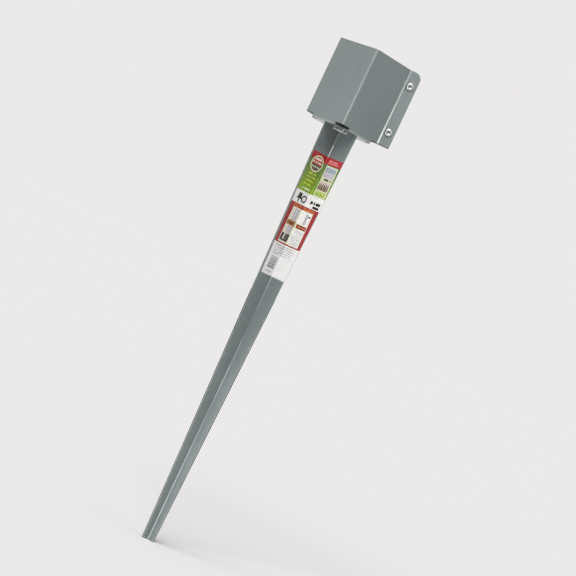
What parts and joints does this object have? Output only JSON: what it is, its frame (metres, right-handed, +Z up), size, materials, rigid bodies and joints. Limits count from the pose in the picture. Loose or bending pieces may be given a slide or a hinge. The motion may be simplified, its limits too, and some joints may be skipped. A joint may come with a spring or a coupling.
{
  "type": "post anchor spike",
  "caption": "Drive-in spike for a wooden fence post: a square folded socket with a bolted corner clamp on a long tapering four-finned blade.",
  "frame": {"origin": "middle of the post seat, the upper face of the socket's floor tabs, on the spike's axis", "axes": "+Z up out of the socket's open mouth, away from the spike's tip; the clamp corner is at +X +Y and the bolt heads and the label face +X -Y"},
  "size_m": [0.1114, 0.1177, 0.904],
  "materials": {
    "grey_coat": "satin silver-grey coating",
    "weld": "coated weld bead, glossier than the sheet",
    "zinc": "bright zinc plate",
    "label": "printed gloss label"
  },
  "bodies": {
    "frame": {"socket_sleeve": "grey_coat", "blade_front": "grey_coat", "blade_rear": "grey_coat", "weld_seat_front": "weld", "weld_seat_rear": "weld", "weld_seat_right": "weld", "weld_seat_left": "weld", "weld_spine_right": "weld", "weld_spine_left": "weld", "label": "label"},
    "bolt_upper": {"bolt_upper": "zinc"},
    "bolt_lower": {"bolt_lower": "zinc"},
    "nut_upper": {"nut_upper": "zinc"},
    "nut_lower": {"nut_lower": "zinc"}
  },
  "joints": [
    {"name": "bolt_upper_turn", "type": "hinge", "parent": "frame", "child": "bolt_upper", "pos_m": [0.05303, 0.05303, 0.1135], "axis": [0.7071, -0.7071, 0], "range_deg": [0, 2160]},
    {"name": "nut_upper_travel", "type": "slide", "parent": "frame", "child": "nut_upper", "axis": [-0.7071, 0.7071, 0], "range_m": [0, 0.00762]},
    {"name": "bolt_lower_turn", "type": "hinge", "parent": "frame", "child": "bolt_lower", "pos_m": [0.05303, 0.05303, 0.0285], "axis": [0.7071, -0.7071, 0], "range_deg": [0, 2160]},
    {"name": "nut_lower_travel", "type": "slide", "parent": "frame", "child": "nut_lower", "axis": [-0.7071, 0.7071, 0], "range_m": [0, 0.00762]}
  ],
  "couplings": [
    {"joint": "nut_upper_travel", "follows": "bolt_upper_turn", "m_per_rad": 0.00020213},
    {"joint": "nut_lower_travel", "follows": "bolt_lower_turn", "m_per_rad": 0.00020213}
  ]
}
